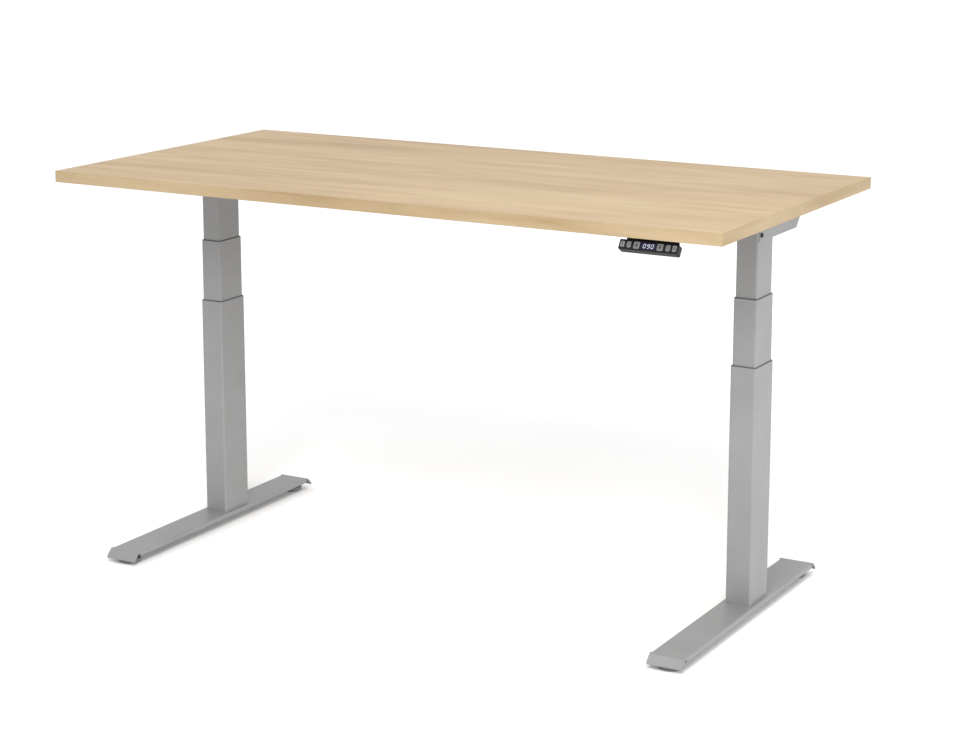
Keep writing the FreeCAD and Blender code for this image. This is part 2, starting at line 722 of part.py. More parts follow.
def make_drive(name, x):
    """The gearbox in the head of the inner tube, and the motor that lies behind it."""
    half = grown(INNER_HALF, -TUBE_WALL - GEARBOX_GAP)
    gearbox = upright(half, GEARBOX_ROUND, x, COLUMN_Y, GEARBOX_BOTTOM, GEARBOX_TOP)
    neck = facing(NECK_HALF, 2.0 * NECK_HALF, 0.0, x, COLUMN_Y + NECK_FRONT, MOTOR_FRONT, MOTOR_Z)
    gearbox = gearbox.fuse(neck)
    bore_top = GEARBOX_TOP - JOURNAL_SHORT + 0.5
    bore = disc(JOURNAL_RADIUS + RUNNING_CLEARANCE, x, COLUMN_Y, GEARBOX_BOTTOM, bore_top)
    gearbox = gearbox.cut(bore)
    save(name + "_gearbox", gearbox)
    motor_end = MOTOR_FRONT + MOTOR_LENGTH
    can = rod(MOTOR_RADIUS, vector(x, MOTOR_FRONT, MOTOR_Z), vector(x, motor_end, MOTOR_Z))
    rims = [edge for edge in can.Edges if edge.BoundBox.YLength < 1e-6]
    can = can.makeFillet(MOTOR_ROUND, rims)
    cap_radius, cap_length = MOTOR_CAP
    cap_end = vector(x, motor_end + cap_length, MOTOR_Z)
    cap = rod(cap_radius, vector(x, motor_end - 1.0, MOTOR_Z), cap_end)
    save(name + "_motor", can.fuse(cap))


# ---------------------------------------------------------------- frame under the desktop


def make_side_arm(name, x):
    """The inverted channel that lies under the desktop and wraps the column head."""
    reach = ARM_LENGTH_HALF
    tip_round, bend_round = ARM_ROUND
    outline = [
        (x - ARM_HALF, -reach, UNDERSIDE, 0.0),
        (x - ARM_HALF, -reach, ARM_END_BOTTOM, tip_round),
        (x - ARM_HALF, -reach + ARM_TAPER, ARM_BOTTOM, bend_round),
        (x - ARM_HALF, reach - ARM_TAPER / 2.0, ARM_BOTTOM, bend_round),
        (x - ARM_HALF, reach, ARM_END_BOTTOM, tip_round),
        (x - ARM_HALF, reach, UNDERSIDE, 0.0),
    ]
    arm = rounded_face(outline).extrude(vector(2.0 * ARM_HALF, 0, 0))
    inner = ARM_HALF - ARM_SHEET
    low = ARM_BOTTOM - 1.0
    arm = arm.cut(block(x - inner, x + inner, -reach - 1.0, reach + 1.0, low, UNDERSIDE - ARM_SHEET))
    for y in ARM_SCREW_Y:
        hole_radius = WOOD_SCREW_RADIUS + WOOD_HOLE_GAP
        hole = disc(hole_radius, x, y, UNDERSIDE - ARM_SHEET - 1.0, UNDERSIDE + 1.0)
        arm = arm.cut(hole)
    for y, z in HEAD_SCREW_PLACES[1:]:
        for side in ENDS:
            start, end = head_screw_ends(x, y, z, side, ARM_HALF + 1.0)
            arm = arm.cut(rod(MACHINE_SCREW_RADIUS + MACHINE_HOLE_GAP, start, end))
    save(name + "_side_arm", arm)


def rail_flange(y, side):
    """The flange at the outer end of a rail, against the side of a column head."""
    face = side * (COLUMN_X - HEAD_HALF)
    x_low, x_high = sorted((face, face - side * RAIL_FLANGE_THICKNESS))
    return block(x_low, x_high, y - RAIL_FLANGE, y + RAIL_FLANGE, RAIL_BOTTOM, RAIL_TOP)


def make_crossbars():
    """Two telescoping rails between the heads: sleeves from the left, bars from the right."""
    sleeves = []
    bars = []
    face = COLUMN_X - HEAD_HALF
    for y in RAIL_Y:
        half = RAIL_WIDTH / 2.0
        sleeve = block(-face, RAIL_OVERLAP / 2.0, y - half, y + half, RAIL_BOTTOM, RAIL_TOP)
        inside = half - RAIL_WALL
        hollow = block(
            -face, RAIL_OVERLAP / 2.0, y - inside, y + inside, RAIL_BOTTOM + RAIL_WALL, RAIL_TOP - RAIL_WALL
        )
        sleeve = sleeve.fuse(rail_flange(y, -1.0)).cut(hollow)
        half = inside - RAIL_GAP
        low = RAIL_BOTTOM + RAIL_WALL + RAIL_GAP
        high = RAIL_TOP - RAIL_WALL - RAIL_GAP
        bar = block(-RAIL_OVERLAP / 2.0, face, y - half, y + half, low, high)
        bar = bar.fuse(rail_flange(y, 1.0))
        inside = half - RAIL_WALL
        hollow = block(-RAIL_OVERLAP / 2.0, face, y - inside, y + inside, low + RAIL_WALL, high - RAIL_WALL)
        bar = bar.cut(hollow)
        for x in rail_screw_x():
            hole_top = low + RAIL_WALL + 1.0
            hole = disc(MACHINE_SCREW_RADIUS + SNUG, x, y, RAIL_BOTTOM - 1.0, hole_top)
            sleeve = sleeve.cut(hole)
            bar = bar.cut(hole)
        sleeves.append(sleeve)
        bars.append(bar)
    save("crossbar_sleeves", Part.makeCompound(sleeves))
    save("crossbar_bars", Part.makeCompound(bars))


def rail_screw_x():
    """Where the screws that lock the rails' width are."""
    reach = RAIL_OVERLAP / 2.0 - RAIL_SCREW_INSET
    return (-reach, reach)


def machine_screw(head_face, direction, length):
    """A button-head screw: head outside the face, shank inside, with a hexagonal recess."""
    head = disc(MACHINE_HEAD_RADIUS, 0.0, 0.0, 0.0, MACHINE_HEAD_HEIGHT)
    rim = [edge for edge in head.Edges if edge.BoundBox.ZMin > MACHINE_HEAD_HEIGHT - 1e-6]
    head = head.makeFillet(MACHINE_HEAD_ROUND, rim)
    recess = hexagon(MACHINE_RECESS_FLATS, 0.0, 0.0, MACHINE_RECESS_FLOOR, MACHINE_HEAD_HEIGHT + 1.0)
    screw = head.cut(recess).fuse(disc(MACHINE_SCREW_RADIUS, 0.0, 0.0, -length, 0.0))
    turn = FreeCAD.Rotation(vector(0, 0, 1), vector(*direction))
    screw.Placement = FreeCAD.Placement(head_face, turn)
    return screw


def make_frame_screws():
    """The screws of the heads, the side arms and the rails."""
    screws = []
    for side_of_desk in ENDS:
        x = side_of_desk * COLUMN_X
        for index, place in enumerate(HEAD_SCREW_PLACES):
            y, z = place
            surface = HEAD_HALF if index == 0 else ARM_HALF
            for side in ENDS:
                face = vector(x + side * surface, y, z)
                screws.append(machine_screw(face, (side, 0, 0), surface - HEAD_HALF + SCREW_GRIP))
    for y in RAIL_Y:
        for x in rail_screw_x():
            screws.append(machine_screw(vector(x, y, RAIL_BOTTOM), (0, 0, -1), RAIL_SCREW_LENGTH))
    save("frame_screws", Part.makeCompound(screws))


def make_desktop_screws():
    """The pan-head wood screws that hold everything up against the desktop."""
    sheet = UNDERSIDE - ARM_SHEET
    low = sheet - WOOD_HEAD_HEIGHT
    recess_top = sheet - WOOD_HEAD_ROUND
    reach = WOOD_RECESS_LENGTH / 2.0
    half = WOOD_RECESS_WIDTH / 2.0
    screws = []
    for x, y in screw_places():
        shank = disc(WOOD_SCREW_RADIUS, x, y, sheet, UNDERSIDE + WOOD_SCREW_DEPTH)
        head = disc(WOOD_HEAD_RADIUS, x, y, low, sheet)
        rim = [edge for edge in head.Edges if edge.BoundBox.ZMax < low + 1e-6]
        head = head.makeFillet(WOOD_HEAD_ROUND, rim)
        slot = block(x - reach, x + reach, y - half, y + half, low, recess_top)
        cross = block(x - half, x + half, y - reach, y + reach, low, recess_top)
        screws.append(head.cut(slot).cut(cross).fuse(shank))
    save("desktop_screws", Part.makeCompound(screws))


# ---------------------------------------------------------------- control box and leads


def make_control_box():
    """A shallow box with screw ears, its electronics board, and the mains inlet in its back."""
    half = BOX_HALF_LENGTH
    middle_y = (BOX_FRONT + BOX_BACK) / 2.0
    half_y = (BOX_BACK - BOX_FRONT) / 2.0
    shell = upright((half, half_y), BOX_CORNER, 0.0, middle_y, BOX_BOTTOM, BOX_TOP)
    lower = [edge for edge in shell.Edges if edge.BoundBox.ZMax < BOX_BOTTOM + 1e-6]
    shell = shell.makeFillet(BOX_BEVEL, lower)
    inside = grown((half, half_y), -BOX_WALL)
    inner_corner = BOX_CORNER - BOX_WALL
    hollow = upright(inside, inner_corner, 0.0, middle_y, BOX_BOTTOM + BOX_WALL, BOX_TOP + 1.0)
    shell = shell.cut(hollow)
    for side in ENDS:
        x_low, x_high = sorted((side * (half - BOX_WALL), side * (half + BOX_EAR)))
        front = BOX_FRONT + BOX_EAR_SHORT
        back = BOX_BACK - BOX_EAR_SHORT
        ear = block(x_low, x_high, front, back, UNDERSIDE - ARM_SHEET, UNDERSIDE)
        x_low, x_high = sorted((side * (half - BOX_WALL), side * half))
        front = BOX_FRONT + BOX_CHEEK_SHORT
        back = BOX_BACK - BOX_CHEEK_SHORT
        cheek = block(x_low, x_high, front, back, BOX_TOP - 1.0, UNDERSIDE)
        shell = shell.fuse(ear).fuse(cheek)
        ear_x = side * (half + BOX_EAR / 2.0)
        for y in box_screw_y():
            hole_radius = WOOD_SCREW_RADIUS + WOOD_HOLE_GAP
            hole = disc(hole_radius, ear_x, y, UNDERSIDE - ARM_SHEET - 1.0, UNDERSIDE + 1.0)
            shell = shell.cut(hole)
    opening_half = INLET_WIDTH / 2.0 + INLET_GAP
    opening_height = INLET_HEIGHT + 2.0 * INLET_GAP
    front = BOX_BACK - BOX_WALL - 1.0
    back = BOX_BACK + 1.0
    opening = facing(opening_half, opening_height, INLET_CORNER, INLET_X, front, back, INLET_Z)
    shell = shell.cut(opening)
    save("control_box", shell)
    low = BOX_BOTTOM + BOX_WALL + BOX_BOARD_RAISED
    front = BOX_FRONT + BOX_BOARD_GAP
    reach = half - BOX_BOARD_GAP
    board = block(-reach, reach, front, BOX_BACK - BOX_BOARD_SHORT, low, low + BOX_BOARD_THICKNESS)
    block_length, block_depth, block_height = BOX_BLOCK
    front = front + BOX_BOARD_GAP
    for x in BOX_BLOCK_X:
        component = block(x, x + block_length, front, front + block_depth, low, low + block_height)
        board = board.fuse(component)
    save("control_board", board)


def make_mains_inlet():
    """A three-pin appliance inlet, set in the back of the control box."""
    mouth = BOX_BACK + INLET_PROUD
    floor = BOX_BACK - INLET_DEPTH
    half = INLET_WIDTH / 2.0
    shell = facing(half, INLET_HEIGHT, INLET_CORNER, INLET_X, floor, mouth, INLET_Z)
    inner_half = half - INLET_WALL
    inner_height = INLET_HEIGHT - 2.0 * INLET_WALL
    inner_floor = floor + INLET_WALL
    corner = INLET_CAVITY_CORNER
    cavity = facing(inner_half, inner_height, corner, INLET_X, inner_floor, mouth + 1.0, INLET_Z)
    shell = shell.cut(cavity)
    half_x, half_z = PIN_HALF
    for offset_x, offset_z in PIN_PLACES:
        pin_x = INLET_X + offset_x
        pin_z = INLET_Z + offset_z
        pin = facing(half_x, 2.0 * half_z, 0.0, pin_x, floor + 1.0, mouth - PIN_SHORT, pin_z)
        shell = shell.fuse(pin)
    save("mains_inlet", shell)


def lead(points, radius):
    """A round lead along straight runs, joined by arcs as large as their runs allow."""
    edges = []
    start = points[0]
    for index in range(1, len(points) - 1):
        here = points[index]
        back = points[index - 1].sub(here)
        ahead = points[index + 1].sub(here)
        shorter = min(back.Length, ahead.Length)
        back.normalize()
        ahead.normalize()
        half_turn = (math.pi - back.getAngle(ahead)) / 2.0
        reach = 0.45 * shorter
        bend = reach / math.tan(half_turn)
        inward = back.add(ahead)
        inward.normalize()
        middle = here.add(inward.multiply(bend / math.cos(half_turn) - bend))
        entry = here.add(back.multiply(reach))
        leave = here.add(ahead.multiply(reach))
        edges.append(Part.LineSegment(start, entry).toShape())
        edges.append(Part.Arc(entry, middle, leave).toShape())
        start = leave
    edges.append(Part.LineSegment(start, points[-1]).toShape())
    path = Part.Wire(edges)
    first = points[1].sub(points[0])
    circle = Part.Wire(Part.makeCircle(radius, points[0], first))
    return path.makePipeShell([circle], True, False)


def motor_lead(side):
    """From the grommet in a motor housing, along the clips under the top, to the control box."""
    y = MOTOR_LEAD_Y
    first, second, third = MOTOR_CLIP_X
    route = [
        (COLUMN_X - HEAD_HALF, y, MOTOR_LEAD_EXIT_Z),
        (622.0, y, MOTOR_LEAD_EXIT_Z + 1.0),
        (588.0, y + 2.0, SAG_Z),
        (first + CLIP_REACH, y, LEAD_Z),
        (first - CLIP_REACH, y, LEAD_Z),
        (475.0, y + 3.0, SAG_Z),
        (second + CLIP_REACH, y, LEAD_Z),
        (second - CLIP_REACH, y, LEAD_Z),
        (325.0, y - 2.0, SAG_Z),
        (third + CLIP_REACH, y, LEAD_Z),
        (third - CLIP_REACH, y, LEAD_Z),
        (190.0, y, 860.0),
        (158.0, y, INLET_Z),
        (BOX_HALF_LENGTH, y, INLET_Z),
    ]
    points = [vector(side * x, y_here, z) for x, y_here, z in route]
    return lead(points, MOTOR_LEAD_RADIUS)


def handset_lead():
    """From the back plate of the handset, back under the top and across to the control box."""
    x = HANDSET_LEAD_X
    y = HANDSET_LEAD_Y
    near, middle, far = HANDSET_CLIP_Y
    first, second, third = HANDSET_CLIP_X
    exit_depth = HANDSET_DEPTH + HANDSET_BACK_PLATE
    start = handset_point(x - HANDSET_X, exit_depth, LEAD_EXIT_UP)
    out = handset_point(x - HANDSET_X, exit_depth + 14.0, LEAD_EXIT_UP)
    route = [
        start,
        out,
        vector(x, -344.0, 851.0),
        vector(x, -318.0, 859.0),
        vector(x, -292.0, 866.0),
        vector(x, near - CLIP_REACH, LEAD_Z),
        vector(x, near + CLIP_REACH, LEAD_Z),
        vector(x + 2.0, -165.0, SAG_Z),
        vector(x, middle - CLIP_REACH, LEAD_Z),
        vector(x, middle + CLIP_REACH, LEAD_Z),
        vector(x - 2.0, -10.0, SAG_Z),
        vector(x, far - CLIP_REACH, LEAD_Z),
        vector(x, far + CLIP_REACH, LEAD_Z),
        vector(x - 12.0, 128.0, 866.0),
        vector(x - 62.0, 170.0, 866.0),
        vector(first + CLIP_REACH, y, LEAD_Z),
        vector(first - CLIP_REACH, y, LEAD_Z),
        vector(395.0, y + 2.0, SAG_Z),
        vector(second + CLIP_REACH, y, LEAD_Z),
        vector(second - CLIP_REACH, y, LEAD_Z),
        vector(255.0, y - 1.0, SAG_Z + 2.0),
        vector(third + CLIP_REACH, y, LEAD_Z),
        vector(third - CLIP_REACH, y, LEAD_Z),
        vector(155.0, y, 859.0),
        vector(BOX_HALF_LENGTH, y, 859.0),
    ]
    return lead(route, HANDSET_LEAD_RADIUS)


def clip(x, y, along_x, lead_radius):
    """A saddle that holds a lead up against the desktop."""
    half = lead_radius + CLIP_WALL
    low = LEAD_Z - half
    reach_x, reach_y = (CLIP_HALF, half) if along_x else (half, CLIP_HALF)
    body = block(x - reach_x, x + reach_x, y - reach_y, y + reach_y, low, UNDERSIDE)
    direction = (1.0, 0.0) if along_x else (0.0, 1.0)
    lower = [
        edge
        for edge in body.Edges
        if edge.BoundBox.ZMax < low + 1e-6
        and edge.BoundBox.XLength * direction[0] + edge.BoundBox.YLength * direction[1] > 1.0
    ]
    body = body.makeFillet(half * CLIP_ROUND, lower)
    reach = vector(*direction, 0).multiply(2.0 * CLIP_HALF)
    middle = vector(x, y, LEAD_Z)
    return body.cut(rod(lead_radius + CLIP_GAP, middle.sub(reach), middle.add(reach)))


def make_leads():
    save("motor_leads", Part.makeCompound([motor_lead(-1.0), motor_lead(1.0)]))
    save("handset_lead", handset_lead())
    clips = []
    for side in ENDS:
        for x in MOTOR_CLIP_X:
            clips.append(clip(side * x, MOTOR_LEAD_Y, True, MOTOR_LEAD_RADIUS))
    for y in HANDSET_CLIP_Y:
        clips.append(clip(HANDSET_LEAD_X, y, False, HANDSET_LEAD_RADIUS))
    for x in HANDSET_CLIP_X:
        clips.append(clip(x, HANDSET_LEAD_Y, True, HANDSET_LEAD_RADIUS))
    save("lead_clips", Part.makeCompound(clips))


# ---------------------------------------------------------------- handset


def handset_point(across, into, up):
    """A point given about the middle of the handset's face, as a point of the desk."""
    angle = math.radians(HANDSET_TILT)
    y = HANDSET_FACE_Y + into * math.cos(angle) + up * math.sin(angle)
    z = HANDSET_FACE_Z - into * math.sin(angle) + up * math.cos(angle)
    return vector(HANDSET_X + across, y, z)


def tilted(shape):
    """A shape drawn upright about the middle of the face, in its place under the desk."""
    turn = FreeCAD.Rotation(vector(1, 0, 0), -HANDSET_TILT)
    middle = vector(HANDSET_X, HANDSET_FACE_Y, HANDSET_FACE_Z)
    shape.Placement = FreeCAD.Placement(middle, turn)
    return shape


def make_handset_case():
    """The front shell: face, sides and openings for the window and the keys."""
    height = 2.0 * HANDSET_HALF_HEIGHT
    shell = facing(HANDSET_HALF, height, HANDSET_CORNER, 0.0, 0.0, HANDSET_DEPTH, 0.0)
    rims = [edge for edge in shell.Edges if edge.BoundBox.YMax < 1e-6]
    shell = shell.makeFillet(HANDSET_BEVEL, rims)
    inner_half = HANDSET_HALF - SIDE_WALL
    inner_height = height - 2.0 * SIDE_WALL
    inner_corner = HANDSET_CORNER - SIDE_WALL
    inside = facing(inner_half, inner_height, inner_corner, 0.0, FACE_WALL, HANDSET_DEPTH + 1.0, 0.0)
    shell = shell.cut(inside)
    for key in KEYS:
        offset = key[1]
        width, height = key[2]
        half = width / 2.0 + KEY_GAP
        hole = facing(half, height + 2.0 * KEY_GAP, KEY_CORNER + KEY_GAP, offset, -1.0, FACE_WALL + 1.0, 0.0)
        shell = shell.cut(hole)
    half = WINDOW_HALF + WINDOW_GAP
    height = WINDOW_HEIGHT + 2.0 * WINDOW_GAP
    corner = WINDOW_CORNER + WINDOW_GAP
    window = facing(half, height, corner, 0.0, -1.0, FACE_WALL + 1.0, 0.0)
    save("handset_case", tilted(shell.cut(window)))


def make_handset_inside():
    """The window, and the board with its switches and the display behind the window."""
    pane = facing(WINDOW_HALF, WINDOW_HEIGHT, WINDOW_CORNER, 0.0, WINDOW_SUNK, FACE_WALL, 0.0)
    save("handset_window", tilted(pane))
    half = HANDSET_HALF - HANDSET_BOARD_INSET[0]
    height = 2.0 * (HANDSET_HALF_HEIGHT - HANDSET_BOARD_INSET[1])
    back = BOARD_FRONT + BOARD_THICKNESS
    board = facing(half, height, 0.0, 0.0, BOARD_FRONT, back, 0.0)
    for key in KEYS:
        front = BOARD_FRONT - SWITCH_HEIGHT
        switch = facing(SWITCH_HALF, 2.0 * SWITCH_HALF, 0.0, key[1], front, BOARD_FRONT, 0.0)
        board = board.fuse(switch)
    half, half_height = DISPLAY_HALF
    front = BOARD_FRONT - DISPLAY_THICKNESS
    display = facing(half, 2.0 * half_height, 0.0, 0.0, front, BOARD_FRONT, 0.0)
    save("handset_board", tilted(board.fuse(display)))


def make_handset_bracket():
    """The plate that closes the case's back, hung from a flange under the desktop."""
    half = HANDSET_HALF - PLATE_INSET
    height = 2.0 * (HANDSET_HALF_HEIGHT - PLATE_INSET)
    corner = HANDSET_CORNER - PLATE_INSET
    back = HANDSET_DEPTH + HANDSET_BACK_PLATE
    plate = tilted(facing(half, height, corner, 0.0, HANDSET_DEPTH, back, 0.0))
    left = HANDSET_X - BRACKET_HALF
    right = HANDSET_X + BRACKET_HALF
    depth = HANDSET_DEPTH + BRACKET_SUNK
    join_high, join_low = BRACKET_JOIN
    front_bend, back_bend = BRACKET_BEND_Z
    top = handset_point(-BRACKET_HALF, depth, join_high)
    bottom = handset_point(-BRACKET_HALF, depth, join_low)
    corners = [
        (left, top.y, top.z, 0.0),
        (left, bottom.y, bottom.z, 0.0),
        (left, BRACKET_WEB_BACK, back_bend, 0.0),
        (left, BRACKET_WEB_BACK, UNDERSIDE, 0.0),
        (left, BRACKET_FRONT, UNDERSIDE, 0.0),
        (left, BRACKET_FRONT, front_bend, 0.0),
    ]
    web = rounded_face(corners).extrude(vector(2.0 * BRACKET_HALF, 0, 0))
    flange = block(left, right, BRACKET_FRONT, BRACKET_BACK, UNDERSIDE - ARM_SHEET, UNDERSIDE)
    bracket = plate.fuse(web).fuse(flange)
    for side in ENDS:
        x = HANDSET_X + side * BRACKET_SCREW_SPREAD
        low = UNDERSIDE - ARM_SHEET - 1.0
        hole_radius = WOOD_SCREW_RADIUS + WOOD_HOLE_GAP
        bracket = bracket.cut(disc(hole_radius, x, BRACKET_SCREW_Y, low, UNDERSIDE + 1.0))
    save("handset_bracket", bracket)


def make_keys():
    """Six keys, each with tabs behind the face and a stem towards its switch."""
    for name, x, size in KEYS:
        half = size[0] / 2.0
        height = size[1]
        tab_front = FACE_WALL + KEY_TAB_GAP
        tab_back = tab_front + KEY_TAB_THICKNESS
        cap = facing(half, height, KEY_CORNER, x, -KEY_RISE, tab_front, 0.0)
        rims = [edge for edge in cap.Edges if edge.BoundBox.YMax < -KEY_RISE + 1e-6]
        cap = cap.makeFillet(KEY_ROUND, rims)
        tabs = facing(half + KEY_TAB, height - KEY_TAB_SHORT, KEY_TAB, x, tab_front, tab_back, 0.0)
        stem_end = BOARD_FRONT - SWITCH_HEIGHT - SWITCH_GAP
        stem = rod(KEY_STEM_RADIUS, vector(x, tab_back - 0.1, 0), vector(x, stem_end, 0))
        save(name, tilted(cap.fuse(tabs).fuse(stem)))


# ---------------------------------------------------------------- the whole desk


def main():
    os.makedirs("parts", exist_ok=True)
    make_desktop()
    bolts = []
    plates = []
    collars = []
    nuts = []
    plugs = []
    for name, side in SIDES:
        x = side * COLUMN_X
        make_foot(name, x)
        bolts.extend([foot_bolt(bolt_x, bolt_y) for bolt_x, bolt_y in foot_bolt_places(x)])
        plates.append(column_plate(x))
        collars.append(collar(OUTER_HALF, OUTER_RADIUS, MIDDLE_HALF, MIDDLE_RADIUS, x, OUTER_TOP))
        nuts.append(lift_nut(x))
        plugs.append(inner_plug(x))
        make_outer_stage(name, x)
        make_middle_stage(name, x)
        make_inner_stage(name, x)
        make_spindle(name, x)
        make_drive_rod(name, x)
        make_head(name, x)
        make_drive(name, x)
        make_side_arm(name, x)
    save("foot_bolts", Part.makeCompound(bolts))
    save("column_plates", Part.makeCompound(plates))
    save("outer_collars", Part.makeCompound(collars))
    save("lift_nuts", Part.makeCompound(nuts))
    save("inner_plugs", Part.makeCompound(plugs))
    make_levelling_feet()
    make_crossbars()
    make_frame_screws()
    make_desktop_screws()
    make_control_box()
    make_mains_inlet()
    make_leads()
    make_handset_case()
    make_handset_inside()
    make_handset_bracket()
    make_keys()


main()
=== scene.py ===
import json
import math

import bmesh
import bpy
from mathutils import Matrix, Vector


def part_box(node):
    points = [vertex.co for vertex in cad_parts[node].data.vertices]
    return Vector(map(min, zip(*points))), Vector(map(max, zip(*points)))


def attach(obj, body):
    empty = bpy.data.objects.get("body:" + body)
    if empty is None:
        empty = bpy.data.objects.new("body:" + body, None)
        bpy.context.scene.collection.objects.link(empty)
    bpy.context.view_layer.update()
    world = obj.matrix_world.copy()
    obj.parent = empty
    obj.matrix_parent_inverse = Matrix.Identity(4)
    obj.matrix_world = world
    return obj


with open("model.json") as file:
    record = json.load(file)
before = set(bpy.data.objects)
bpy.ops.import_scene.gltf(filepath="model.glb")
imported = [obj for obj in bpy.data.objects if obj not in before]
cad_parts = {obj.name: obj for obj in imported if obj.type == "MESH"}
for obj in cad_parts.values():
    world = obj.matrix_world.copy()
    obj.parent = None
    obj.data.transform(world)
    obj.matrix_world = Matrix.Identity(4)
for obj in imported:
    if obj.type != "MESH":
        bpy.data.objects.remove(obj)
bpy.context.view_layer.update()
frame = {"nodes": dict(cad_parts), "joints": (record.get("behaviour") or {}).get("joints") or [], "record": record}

# Everything is in metres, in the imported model's own frame: +X along the desk, +Y back, +Z up.
MM = 0.001

# Camera
AIM = Vector((0.0298, 0.0613, 0.6400))
AZIMUTH = 29.50
ELEVATION = 11.51
DISTANCE = 5.027
LENS = 83.8
SENSOR = 36.0
SHIFT_Y = -0.08

# Light: each soft light's place, the point that it looks at, its width and its power in watts
WORLD_STRENGTH = 1.02
FRONT_LIGHT = {"place": (1.6, -3.7, 3.6), "target": (-0.3, 0.0, 0.5), "size": 2.4, "power": 240.0}
RIGHT_LIGHT = {"place": (9.0, 0.4, 3.4), "target": (-0.6, 0.0, 0.5), "size": 3.5, "power": 400.0}

# Floor: it turns whiter between two distances from the desk's middle
FLOOR_SIZE = 60.0
FLOOR_CELLS = 4
WHITENING_START = 0.9
WHITENING_END = 3.2

# The span that most of a noise's values lie in
NOISE_LOW = 0.3
NOISE_HIGH = 0.7

# Display digits: seven segments each
DIGIT_TEXT = "090"
DIGIT_PITCH = 8.2 * MM
DIGIT_WIDTH = 4.3 * MM
DIGIT_HEIGHT = 8.2 * MM
SEGMENT_WIDTH = 0.75 * MM
SEGMENT_GAP = 0.18 * MM
DIGIT_SLANT = math.tan(math.radians(8.0))
SEGMENTS = {"0": "abcdef", "9": "abcdfg"}

# Printed symbols on the keys
PRINT_THICKNESS = 0.05 * MM
STROKE = 1.0 * MM
ARROW_HALF_WIDTH = 3.9 * MM
ARROW_TIP = 4.6 * MM
ARROW_BASE = -1.2 * MM
ARROW_BAR_NEAR = -2.8 * MM
ARROW_BAR_FAR = -4.4 * MM
NUMERAL_HALF_WIDTH = 1.9 * MM
NUMERAL_HALF_HEIGHT = 3.4 * MM
NUMERAL_FLAG = 0.6
RING_RADIUS = 2.6 * MM
RING_STEPS = 28
DOT_RADIUS = 0.8 * MM
DOT_CORNERS = 12

# Rubber boots on the leads: each one's length and its number of ribs
MOTOR_LEAD_RADIUS = 3.0 * MM
HANDSET_LEAD_RADIUS = 2.25 * MM
MOTOR_BOOT = (7.0 * MM, 3)
MOTOR_BOX_BOOT = (15.0 * MM, 6)
HANDSET_BOX_BOOT = (13.0 * MM, 5)
HANDSET_BOOT = (6.0 * MM, 3)
BOOT_CLEARANCE = 0.1 * MM
BOOT_WALL = 2.6 * MM
BOOT_TAPER = 0.5
BOOT_GROOVE = 0.7 * MM
BOOT_STEPS = 48
LEAD_END_DEPTH = 0.2 * MM


# ---------------------------------------------------------------- node helpers


